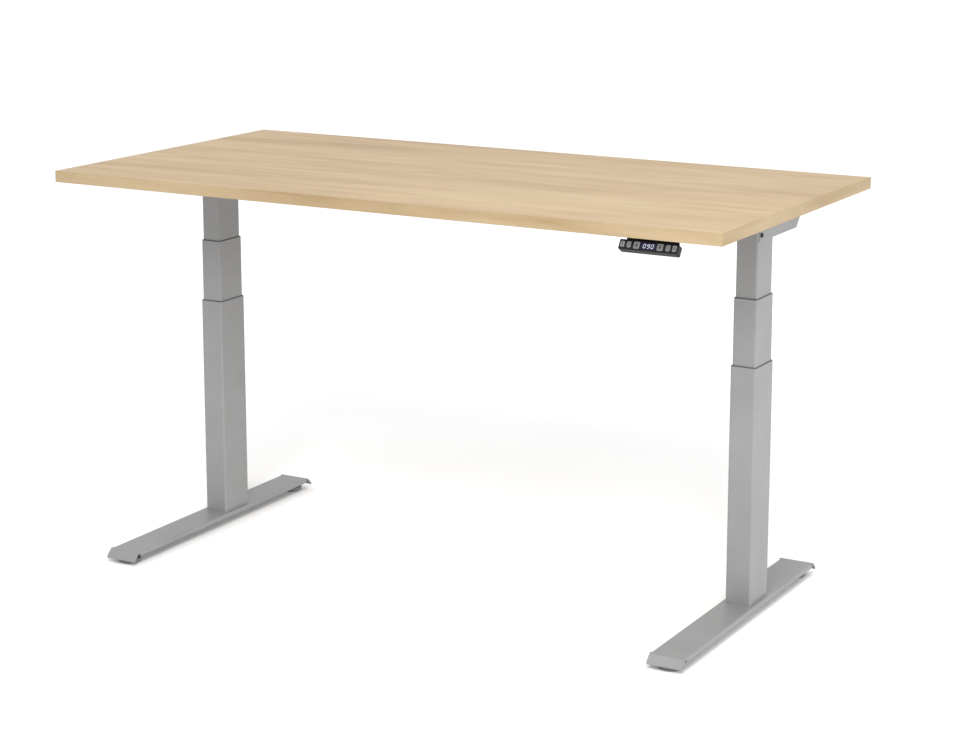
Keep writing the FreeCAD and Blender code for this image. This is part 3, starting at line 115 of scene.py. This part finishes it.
class Shader:
    """A material's node tree, with short ways to add what the materials here need."""

    def __init__(self, name):
        self.material = bpy.data.materials.new(name)
        self.material.use_nodes = True
        self.tree = self.material.node_tree
        self.tree.nodes.clear()
        output = self.tree.nodes.new("ShaderNodeOutputMaterial")
        self.surface = self.tree.nodes.new("ShaderNodeBsdfPrincipled")
        self.link(self.surface.outputs["BSDF"], output.inputs["Surface"])
        self.place = self.tree.nodes.new("ShaderNodeTexCoord").outputs["Object"]

    def link(self, source, target):
        self.tree.links.new(source, target)

    def fixed(self, **values):
        """Sets the surface's own sockets, such as metallic=1.0."""
        for name, value in values.items():
            socket = name.replace("_", " ").title().replace("Ior", "IOR")
            self.surface.inputs[socket].default_value = value

    def stretched(self, scale, source=None):
        """The place on the object, stretched by a factor on each axis."""
        node = self.tree.nodes.new("ShaderNodeMapping")
        node.inputs["Scale"].default_value = scale
        self.link(source or self.place, node.inputs["Vector"])
        return node.outputs["Vector"]

    def noise(self, vector, scale, detail, roughness=0.5, distortion=0.0):
        node = self.tree.nodes.new("ShaderNodeTexNoise")
        node.inputs["Scale"].default_value = scale
        node.inputs["Detail"].default_value = detail
        node.inputs["Roughness"].default_value = roughness
        node.inputs["Distortion"].default_value = distortion
        self.link(vector, node.inputs["Vector"])
        return node.outputs["Fac"]

    def cells(self, vector, scale, feature="F1"):
        node = self.tree.nodes.new("ShaderNodeTexVoronoi")
        node.feature = feature
        node.inputs["Scale"].default_value = scale
        self.link(vector, node.inputs["Vector"])
        return node.outputs["Distance"]

    def remap(self, value, low, high, to_low, to_high):
        node = self.tree.nodes.new("ShaderNodeMapRange")
        self.link(value, node.inputs["Value"])
        settings = (("From Min", low), ("From Max", high), ("To Min", to_low), ("To Max", to_high))
        for name, number in settings:
            node.inputs[name].default_value = number
        return node.outputs["Result"]

    def math(self, operation, first, second):
        node = self.tree.nodes.new("ShaderNodeMath")
        node.operation = operation
        for index, value in enumerate((first, second)):
            if isinstance(value, float):
                node.inputs[index].default_value = value
            else:
                self.link(value, node.inputs[index])
        return node.outputs["Value"]

    def ramp(self, value, stops):
        """A colour ramp through stops of (position, colour)."""
        node = self.tree.nodes.new("ShaderNodeValToRGB")
        elements = node.color_ramp.elements
        while len(elements) < len(stops):
            elements.new(0.5)
        for element, stop in zip(elements, stops):
            element.position = stop[0]
            element.color = (*stop[1], 1.0)
        self.link(value, node.inputs["Fac"])
        return node.outputs["Color"]

    def mix(self, factor, first, second):
        """A mix of two colours, each a tuple or a socket."""
        node = self.tree.nodes.new("ShaderNodeMix")
        node.data_type = "RGBA"
        sockets = [socket for socket in node.inputs if socket.type == "RGBA"]
        for socket, value in zip(sockets, (first, second)):
            if isinstance(value, tuple):
                socket.default_value = (*value, 1.0)
            else:
                self.link(value, socket)
        self.link(factor, node.inputs["Factor"])
        return [socket for socket in node.outputs if socket.type == "RGBA"][0]

    def colour(self, source):
        self.link(source, self.surface.inputs["Base Color"])

    def rough(self, texture, rough_low, rough_high, low=NOISE_LOW, high=NOISE_HIGH):
        """Makes the roughness follow a texture, whose values lie between low and high."""
        roughness = self.remap(texture, low, high, rough_low, rough_high)
        self.link(roughness, self.surface.inputs["Roughness"])

    def bump(self, height, distance, strength):
        node = self.tree.nodes.new("ShaderNodeBump")
        node.inputs["Strength"].default_value = strength
        node.inputs["Distance"].default_value = distance
        self.link(height, node.inputs["Height"])
        self.link(node.outputs["Normal"], self.surface.inputs["Normal"])


# ---------------------------------------------------------------- materials


def grain(shader, place, light, middle, dark):
    """Pale wood, its grain along the place's first axis: broad bands, streaks, fibres and pores."""

    def layer(along, across, detail, roughness, distortion=0.0):
        stretched = shader.stretched((along, across, across), place)
        return shader.noise(stretched, 1.0, detail, roughness, distortion)

    bands = layer(along=1.5, across=11.0, detail=3.0, roughness=0.55, distortion=0.5)
    streaks = layer(along=4.2, across=46.0, detail=3.0, roughness=0.55, distortion=0.25)
    fibres = layer(along=16.0, across=620.0, detail=2.0, roughness=0.5)
    pores = layer(along=34.0, across=1500.0, detail=1.0, roughness=0.4)
    broad = shader.math("MULTIPLY", bands, 0.60)
    narrow = shader.math("MULTIPLY", streaks, 0.30)
    fine = shader.math("MULTIPLY", fibres, 0.10)
    value = shader.math("ADD", shader.math("ADD", broad, narrow), fine)
    colour = shader.ramp(value, ((0.36, dark), (0.50, middle), (0.62, light)))
    pore_mask = shader.remap(pores, 0.60, 0.74, 0.0, 0.35)
    pore_colour = tuple(channel * 0.62 for channel in dark)
    return shader.mix(pore_mask, colour, pore_colour), fibres, pores


def wood_top():
    """The desktop's faces: pale wood with a soft sheen."""
    shader = Shader("wood_top")
    light = (0.424, 0.322, 0.203)
    middle = (0.392, 0.291, 0.178)
    dark = (0.328, 0.234, 0.140)
    colour, fibres, pores = grain(shader, shader.place, light, middle, dark)
    shader.colour(colour)
    shader.rough(fibres, 0.52, 0.64)
    shader.bump(shader.math("SUBTRACT", fibres, pores), 0.06 * MM, 0.5)
    shader.fixed(specular_ior_level=0.22)
    return shader.material


def edge_band():
    """The same wood in a yellower tone; on the two end strips the grain runs across the desk."""
    shader = Shader("edge_band")
    split = shader.tree.nodes.new("ShaderNodeSeparateXYZ")
    shader.link(shader.place, split.inputs["Vector"])
    end_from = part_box("desktop")[1][0]
    from_middle = shader.math("ABSOLUTE", split.outputs["X"], 0.0)
    is_end = shader.math("GREATER_THAN", from_middle, float(end_from))
    swapped = shader.tree.nodes.new("ShaderNodeCombineXYZ")
    shader.link(split.outputs["Y"], swapped.inputs["X"])
    shader.link(split.outputs["X"], swapped.inputs["Y"])
    shader.link(split.outputs["Z"], swapped.inputs["Z"])
    chooser = shader.tree.nodes.new("ShaderNodeMix")
    chooser.data_type = "VECTOR"
    vectors = [socket for socket in chooser.inputs if socket.type == "VECTOR"]
    shader.link(is_end, chooser.inputs["Factor"])
    shader.link(shader.place, vectors[-2])
    shader.link(swapped.outputs["Vector"], vectors[-1])
    place = [socket for socket in chooser.outputs if socket.type == "VECTOR"][0]
    light = (0.345, 0.262, 0.158)
    middle = (0.310, 0.228, 0.130)
    dark = (0.252, 0.176, 0.088)
    colour, fibres, pores = grain(shader, place, light, middle, dark)
    shader.colour(colour)
    shader.rough(fibres, 0.42, 0.55)
    shader.bump(shader.math("SUBTRACT", fibres, pores), 0.05 * MM, 0.5)
    shader.fixed(specular_ior_level=0.35)
    return shader.material


def grey_paint():
    """Silver-grey powder coat: a fine orange-peel skin with faint metallic flecks."""
    shader = Shader("grey_paint")
    clouds = shader.noise(shader.place, scale=9.0, detail=2.0)
    flecks = shader.noise(shader.place, scale=2600.0, detail=1.0)
    skin = shader.noise(shader.place, scale=750.0, detail=2.0, roughness=0.55)
    tone = shader.ramp(clouds, ((0.35, (0.212, 0.212, 0.212)), (0.65, (0.228, 0.228, 0.229))))
    fleck_mask = shader.remap(flecks, 0.60, 0.78, 0.0, 0.5)
    shader.colour(shader.mix(fleck_mask, tone, (0.36, 0.36, 0.365)))
    shader.rough(skin, 0.40, 0.50)
    shader.bump(skin, 0.05 * MM, 0.35)
    shader.fixed(metallic=0.25, specular_ior_level=0.4)
    return shader.material


def moulded(name, dark, light, rough_low, rough_high, texture_scale, depth, specular):
    """Moulded plastic or rubber: a fine even texture and a slight cloudiness of tone."""
    shader = Shader(name)
    clouds = shader.noise(shader.place, scale=40.0, detail=3.0)
    texture = shader.noise(shader.place, texture_scale, detail=2.0, roughness=0.6)
    shader.colour(shader.ramp(clouds, ((0.35, dark), (0.65, light))))
    shader.rough(texture, rough_low, rough_high)
    shader.bump(texture, depth * MM, 0.4)
    shader.fixed(specular_ior_level=specular)
    return shader.material


def metal(name, dark, light, rough_low, rough_high, stretch, depth):
    """Bare or plated metal with fine machining marks, stretched by a factor on each axis."""
    shader = Shader(name)
    patches = shader.noise(shader.place, scale=60.0, detail=4.0, roughness=0.6)
    marks = shader.noise(shader.stretched(stretch), scale=1.0, detail=2.0)
    shader.colour(shader.ramp(patches, ((NOISE_LOW, dark), (NOISE_HIGH, light))))
    shader.rough(marks, rough_low, rough_high)
    shader.bump(marks, depth * MM, 0.4)
    shader.fixed(metallic=1.0)
    return shader.material


def board_green():
    """Solder mask with copper tracks under it and tinned spots."""
    shader = Shader("board_green")
    solder_mask = (0.030, 0.140, 0.050)
    masked_copper = (0.010, 0.070, 0.028)
    tin = (0.55, 0.56, 0.54)
    borders = shader.cells(shader.stretched((260.0, 420.0, 420.0)), 1.0, "DISTANCE_TO_EDGE")
    spots = shader.cells(shader.place, 420.0)
    is_border = shader.remap(borders, 0.04, 0.08, 1.0, 0.0)
    is_spot = shader.remap(spots, 0.20, 0.26, 1.0, 0.0)
    board = shader.mix(is_border, masked_copper, solder_mask)
    shader.colour(shader.mix(is_spot, board, tin))
    shader.rough(spots, 0.25, 0.45, low=0.1, high=0.5)
    shader.bump(borders, 0.05 * MM, 0.3)
    return shader.material


def window_black():
    """A smoked, glossy pane over the display."""
    shader = Shader("window_black")
    dark = (0.006, 0.005, 0.016)
    light = (0.010, 0.008, 0.024)
    haze = shader.noise(shader.place, scale=120.0, detail=2.0)
    shader.colour(shader.ramp(haze, ((NOISE_LOW, dark), (NOISE_HIGH, light))))
    shader.rough(haze, 0.10, 0.16)
    shader.fixed(specular_ior_level=0.2)
    return shader.material


def display_lit():
    """The lit segments: pale blue-white, a little uneven in brightness."""
    shader = Shader("display_lit")
    flicker = shader.noise(shader.place, scale=900.0, detail=1.0)
    glow = shader.ramp(flicker, ((0.2, (0.50, 0.54, 0.66)), (0.8, (0.60, 0.64, 0.74))))
    shader.colour(glow)
    shader.link(glow, shader.surface.inputs["Emission Color"])
    shader.fixed(roughness=0.5, emission_strength=0.3)
    return shader.material


def pale_floor():
    """A pale floor, a little whiter away from the desk than under it."""
    shader = Shader("pale_floor")
    tone = shader.noise(shader.place, scale=2.0, detail=2.0)
    near = shader.ramp(tone, ((NOISE_LOW, (0.82,) * 3), (NOISE_HIGH, (0.84,) * 3)))
    length = shader.tree.nodes.new("ShaderNodeVectorMath")
    length.operation = "LENGTH"
    shader.link(shader.place, length.inputs[0])
    away = shader.remap(length.outputs["Value"], WHITENING_START, WHITENING_END, 0.0, 1.0)
    shader.colour(shader.mix(away, near, (0.985,) * 3))
    shader.fixed(roughness=0.9, specular_ior_level=0.0)
    return shader.material


# Dark and light tone, lowest and highest roughness, texture scale, its depth in mm, specular level
MOULDED = {
    "glide_plastic": ((0.060, 0.060, 0.062), (0.078, 0.078, 0.080), 0.45, 0.60, 1200.0, 0.04, 0.4),
    "black_plastic": ((0.011, 0.011, 0.012), (0.017, 0.017, 0.018), 0.45, 0.62, 1100.0, 0.08, 0.35),
    "handset_black": ((0.004, 0.004, 0.005), (0.006, 0.006, 0.007), 0.34, 0.46, 1500.0, 0.03, 0.16),
    "key_grey": ((0.105, 0.105, 0.107), (0.130, 0.130, 0.132), 0.38, 0.48, 1500.0, 0.02, 0.4),
    "pad_plastic": ((0.120, 0.120, 0.121), (0.150, 0.150, 0.151), 0.48, 0.60, 900.0, 0.06, 0.35),
    "lead_rubber": ((0.012, 0.012, 0.012), (0.018, 0.018, 0.018), 0.50, 0.62, 1300.0, 0.04, 0.3),
    "motor_paint": ((0.012, 0.012, 0.013), (0.020, 0.020, 0.021), 0.30, 0.42, 700.0, 0.03, 0.5),
    "print_black": ((0.014, 0.014, 0.015), (0.020, 0.020, 0.021), 0.50, 0.60, 2000.0, 0.01, 0.3),
}

# Dark and light tone, lowest and highest roughness, the marks' stretch on each axis and depth in mm
METALS = {
    "black_screw": ((0.020, 0.020, 0.022), (0.035, 0.035, 0.038), 0.34, 0.48, (900.0,) * 3, 0.02),
    "zinc_steel": ((0.50, 0.50, 0.47), (0.62, 0.62, 0.60), 0.26, 0.42, (700.0, 700.0, 90.0), 0.02),
    "nut_brass": ((0.55, 0.40, 0.16), (0.66, 0.49, 0.22), 0.22, 0.36, (120.0, 120.0, 1500.0), 0.03),
    "cast_aluminium": ((0.50, 0.51, 0.52), (0.60, 0.61, 0.62), 0.38, 0.55, (500.0,) * 3, 0.10),
}


def all_materials():
    """The materials of the record's slots, of the printed and lit marks, and of the floor."""
    makers = (wood_top, edge_band, grey_paint, board_green, window_black, display_lit, pale_floor)
    materials = {maker.__name__: maker() for maker in makers}
    for name, settings in MOULDED.items():
        materials[name] = moulded(name, *settings)
    for name, settings in METALS.items():
        materials[name] = metal(name, *settings)
    return materials


# ---------------------------------------------------------------- mesh helpers


def finish_mesh(name, mesh_data, material, place, body):
    """Turns a bmesh into a piece in its place that rides on a body."""
    bmesh.ops.remove_doubles(mesh_data, verts=mesh_data.verts, dist=1e-7)
    bmesh.ops.recalc_face_normals(mesh_data, faces=mesh_data.faces)
    mesh = bpy.data.meshes.new(name)
    mesh_data.to_mesh(mesh)
    mesh_data.free()
    mesh.transform(place)
    mesh.materials.append(material)
    piece = bpy.data.objects.new(name, mesh)
    bpy.context.scene.collection.objects.link(piece)
    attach(piece, body)


def prism(mesh_data, outline, depth):
    """Adds a flat plate: an outline in x and z, its front at y = -depth and its back at y = 0."""
    front = [mesh_data.verts.new((x, -depth, z)) for x, z in outline]
    back = [mesh_data.verts.new((x, 0.0, z)) for x, z in outline]
    mesh_data.faces.new(front)
    mesh_data.faces.new(list(reversed(back)))
    count = len(outline)
    for index in range(count):
        after = (index + 1) % count
        mesh_data.faces.new((front[index], back[index], back[after], front[after]))


def stroke(start, end, width):
    """The outline of a straight stroke between two points, with pointed ends."""
    run = Vector(end) - Vector(start)
    along = run.normalized()
    across = Vector((-along.y, along.x)) * (width / 2.0)
    tip = along * (width / 2.0)
    first = Vector(start)
    last = Vector(end)
    return [
        tuple(first - tip),
        tuple(first - across),
        tuple(last - across),
        tuple(last + tip),
        tuple(last + across),
        tuple(first + across),
    ]


def ring(radius, width):
    """Short outlines that together make a flat ring."""
    pieces = []
    inner = radius - width / 2.0
    outer = radius + width / 2.0
    for index in range(RING_STEPS):
        first = 2.0 * math.pi * index / RING_STEPS
        last = 2.0 * math.pi * (index + 1) / RING_STEPS
        corners = ((inner, first), (outer, first), (outer, last), (inner, last))
        pieces.append([(size * math.cos(angle), size * math.sin(angle)) for size, angle in corners])
    return pieces


def polygon(radius, corners):
    """The outline of a regular polygon."""
    angles = [2.0 * math.pi * corner / corners for corner in range(corners)]
    return [(radius * math.cos(angle), radius * math.sin(angle)) for angle in angles]


def lathe(mesh_data, profile, steps):
    """Turns a closed profile of (radius, height) round the z axis."""
    rings = []
    for index in range(steps):
        angle = 2.0 * math.pi * index / steps
        turned = [(r * math.cos(angle), r * math.sin(angle), z) for r, z in profile]
        rings.append([mesh_data.verts.new(point) for point in turned])
    count = len(profile)
    for index in range(steps):
        here = rings[index]
        there = rings[(index + 1) % steps]
        for step in range(count):
            after = (step + 1) % count
            mesh_data.faces.new((here[step], there[step], there[after], here[after]))


# ---------------------------------------------------------------- what the frame says


def joint_of(child):
    """The joint whose child is this body."""
    return [joint for joint in frame["joints"] if joint["child"] == child][0]


def handset_axes():
    """Across, into the face and up the face, as unit vectors; keys are pressed along the second."""
    into = Vector(joint_of("up_key")["axis"]).normalized()
    across = Vector((1.0, 0.0, 0.0))
    up = across.cross(into).normalized()
    return across, into, up


def face_place(node):
    """The middle of a tilted node's front face, as a matrix whose axes are those of the handset."""
    axes = handset_axes()
    points = [vertex.co for vertex in frame["nodes"][node].data.vertices]
    lows = [min(point.dot(axis) for point in points) for axis in axes]
    highs = [max(point.dot(axis) for point in points) for axis in axes]
    across = (lows[0] + highs[0]) / 2.0
    up = (lows[2] + highs[2]) / 2.0
    middle = axes[0] * across + axes[1] * lows[1] + axes[2] * up
    turn = Matrix(axes).transposed().to_4x4()
    return Matrix.Translation(middle) @ turn


def lead_end(node, side, towards):
    """The middle of a lead's end that points towards, on the desk's left (-1) or right (1)."""
    vertices = frame["nodes"][node].data.vertices
    points = [vertex.co for vertex in vertices if vertex.co.x * side > 0.0]
    furthest = max(point.dot(towards) for point in points)
    near = [point for point in points if point.dot(towards) > furthest - LEAD_END_DEPTH]
    return sum(near, Vector()) / len(near)


# ---------------------------------------------------------------- display and key symbols


def digit_strokes(character):
    """The strokes of one seven-segment digit about its own middle."""
    half = DIGIT_WIDTH / 2.0
    top = DIGIT_HEIGHT / 2.0
    gap = SEGMENT_GAP + SEGMENT_WIDTH / 2.0
    ends = {
        "a": ((-half + gap, top), (half - gap, top)),
        "b": ((half, top - gap), (half, gap)),
        "c": ((half, -gap), (half, -top + gap)),
        "d": ((-half + gap, -top), (half - gap, -top)),
        "e": ((-half, -gap), (-half, -top + gap)),
        "f": ((-half, top - gap), (-half, gap)),
        "g": ((-half + gap, 0.0), (half - gap, 0.0)),
    }
    return [stroke(*ends[name], SEGMENT_WIDTH) for name in SEGMENTS[character]]


def make_display(materials):
    """The lit digits, just proud of the handset's window."""
    mesh_data = bmesh.new()
    start = -(len(DIGIT_TEXT) - 1) / 2.0 * DIGIT_PITCH
    for index, character in enumerate(DIGIT_TEXT):
        offset = start + index * DIGIT_PITCH
        for outline in digit_strokes(character):
            placed = [(x + offset + z * DIGIT_SLANT, z) for x, z in outline]
            prism(mesh_data, placed, PRINT_THICKNESS)
    place = face_place("handset_window")
    material = materials["display_lit"]
    finish_mesh("display_digits", mesh_data, material, place, "top_frame")


def arrow(direction):
    """An arrow head over a short bar, pointing up (1) or down (-1)."""
    half = ARROW_HALF_WIDTH
    tip, base, near, far = (
        height * direction for height in (ARROW_TIP, ARROW_BASE, ARROW_BAR_NEAR, ARROW_BAR_FAR)
    )
    head = [(-half, base), (half, base), (0.0, tip)]
    bar = [(-half, far), (half, far), (half, near), (-half, near)]
    return [head, bar]


def numeral(number):
    """A plain stroked 1, 2 or 3."""
    half = NUMERAL_HALF_WIDTH
    top = NUMERAL_HALF_HEIGHT
    lines = {
        1: (
            ((-half * NUMERAL_FLAG, top * NUMERAL_FLAG), (0.0, top)),
            ((0.0, top), (0.0, -top)),
        ),
        2: (
            ((-half, top), (half, top)),
            ((half, top), (half, 0.0)),
            ((half, 0.0), (-half, 0.0)),
            ((-half, 0.0), (-half, -top)),
            ((-half, -top), (half, -top)),
        ),
        3: (
            ((-half, top), (half, top)),
            ((half, top), (half, -top)),
            ((-half, 0.0), (half, 0.0)),
            ((-half, -top), (half, -top)),
        ),
    }
    return [stroke(start, end, STROKE) for start, end in lines[number]]


def make_key_symbols(materials):
    """Dark printed marks on the six keys; each rides on its own key."""
    symbols = {
        "memory_key_one": numeral(1),
        "memory_key_two": numeral(2),
        "memory_key_three": numeral(3),
        "up_key": arrow(1.0),
        "down_key": arrow(-1.0),
        "save_key": ring(RING_RADIUS, STROKE) + [polygon(DOT_RADIUS, DOT_CORNERS)],
    }
    for key, outlines in symbols.items():
        mesh_data = bmesh.new()
        for outline in outlines:
            prism(mesh_data, outline, PRINT_THICKNESS)
        material = materials["print_black"]
        finish_mesh(key + "_symbol", mesh_data, material, face_place(key), key)


# ---------------------------------------------------------------- boots on the leads


def boot_profile(lead_radius, length, ribs):
    """Half the section of a ribbed boot round a lead, thick at the wall and thin at its tip."""
    bore = lead_radius + BOOT_CLEARANCE
    pitch = length / ribs
    profile = [(bore, length), (bore, 0.0)]
    for rib in range(ribs):
        radius = lead_radius + BOOT_WALL * (1.0 - BOOT_TAPER * rib / ribs)
        low = rib * pitch
        high = low + pitch / 2.0
        groove = radius - BOOT_GROOVE
        profile += [(radius, low), (radius, high), (groove, high), (groove, low + pitch)]
    return profile


def make_boot(name, node, side, out, lead_radius, boot, material):
    """A ribbed rubber boot where a lead enters a wall; out points along the lead, off the wall."""
    length, ribs = boot
    mesh_data = bmesh.new()
    lathe(mesh_data, boot_profile(lead_radius, length, ribs), BOOT_STEPS)
    turn = Vector((0.0, 0.0, 1.0)).rotation_difference(out).to_matrix().to_4x4()
    place = Matrix.Translation(lead_end(node, side, -out)) @ turn
    finish_mesh(name, mesh_data, material, place, "top_frame")


def make_boots(materials):
    """Boots at both ends of each motor lead and of the handset lead."""
    rubber = materials["lead_rubber"]
    for name, side in (("left", -1.0), ("right", 1.0)):
        outward = Vector((side, 0.0, 0.0))
        boots = (("_motor_boot", -outward, MOTOR_BOOT), ("_box_boot", outward, MOTOR_BOX_BOOT))
        for kind, out, boot in boots:
            make_boot(name + kind, "motor_leads", side, out, MOTOR_LEAD_RADIUS, boot, rubber)
    along = Vector((1.0, 0.0, 0.0))
    into = handset_axes()[1]
    boots = (("handset_box_boot", along, HANDSET_BOX_BOOT), ("handset_boot", into, HANDSET_BOOT))
    for name, out, boot in boots:
        make_boot(name, "handset_lead", 1.0, out, HANDSET_LEAD_RADIUS, boot, rubber)


# ---------------------------------------------------------------- stage


def make_floor(materials):
    """A large flat floor at height zero, under the levelling pads."""
    mesh_data = bmesh.new()
    bmesh.ops.create_grid(
        mesh_data, x_segments=FLOOR_CELLS, y_segments=FLOOR_CELLS, size=FLOOR_SIZE / 2.0
    )
    mesh = bpy.data.meshes.new("floor")
    mesh_data.to_mesh(mesh)
    mesh_data.free()
    mesh.materials.append(materials["pale_floor"])
    floor = bpy.data.objects.new("floor", mesh)
    bpy.context.scene.collection.objects.link(floor)


def make_world():
    """An even white surround."""
    world = bpy.data.worlds.new("studio")
    world.use_nodes = True
    background = world.node_tree.nodes["Background"]
    background.inputs["Color"].default_value = (1.0, 1.0, 1.0, 1.0)
    background.inputs["Strength"].default_value = WORLD_STRENGTH
    bpy.context.scene.world = world


def soft_light(name, place, target, size, power):
    """A square area light that looks at a point."""
    data = bpy.data.lights.new(name, "AREA")
    data.size = size
    data.energy = power
    light = bpy.data.objects.new(name, data)
    light.location = place
    light.rotation_euler = (Vector(target) - Vector(place)).to_track_quat("-Z", "Y").to_euler()
    bpy.context.scene.collection.objects.link(light)


def make_lights():
    soft_light("front", **FRONT_LIGHT)
    soft_light("right", **RIGHT_LIGHT)


def make_camera():
    """The camera at the photograph's viewing angle."""
    data = bpy.data.cameras.new("camera")
    data.lens = LENS
    data.sensor_width = SENSOR
    data.sensor_fit = "HORIZONTAL"
    data.shift_y = SHIFT_Y
    camera = bpy.data.objects.new("camera", data)
    azimuth = math.radians(AZIMUTH)
    elevation = math.radians(ELEVATION)
    level = math.cos(elevation)
    towards = Vector((math.sin(azimuth) * level, -math.cos(azimuth) * level, math.sin(elevation)))
    camera.location = AIM + towards * DISTANCE
    camera.rotation_euler = (-towards).to_track_quat("-Z", "Y").to_euler()
    bpy.context.scene.collection.objects.link(camera)
    bpy.context.scene.camera = camera


def paint_nodes(materials):
    """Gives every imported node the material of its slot."""
    for part in frame["record"]["subparts"]:
        node = frame["nodes"][part["node"]]
        node.data.materials.clear()
        node.data.materials.append(materials[part["material_slot"]])


make_camera()
make_world()
make_lights()
bpy.context.scene.view_settings.view_transform = "Standard"
MATERIALS = all_materials()
paint_nodes(MATERIALS)
make_display(MATERIALS)
make_key_symbols(MATERIALS)
make_boots(MATERIALS)
make_floor(MATERIALS)
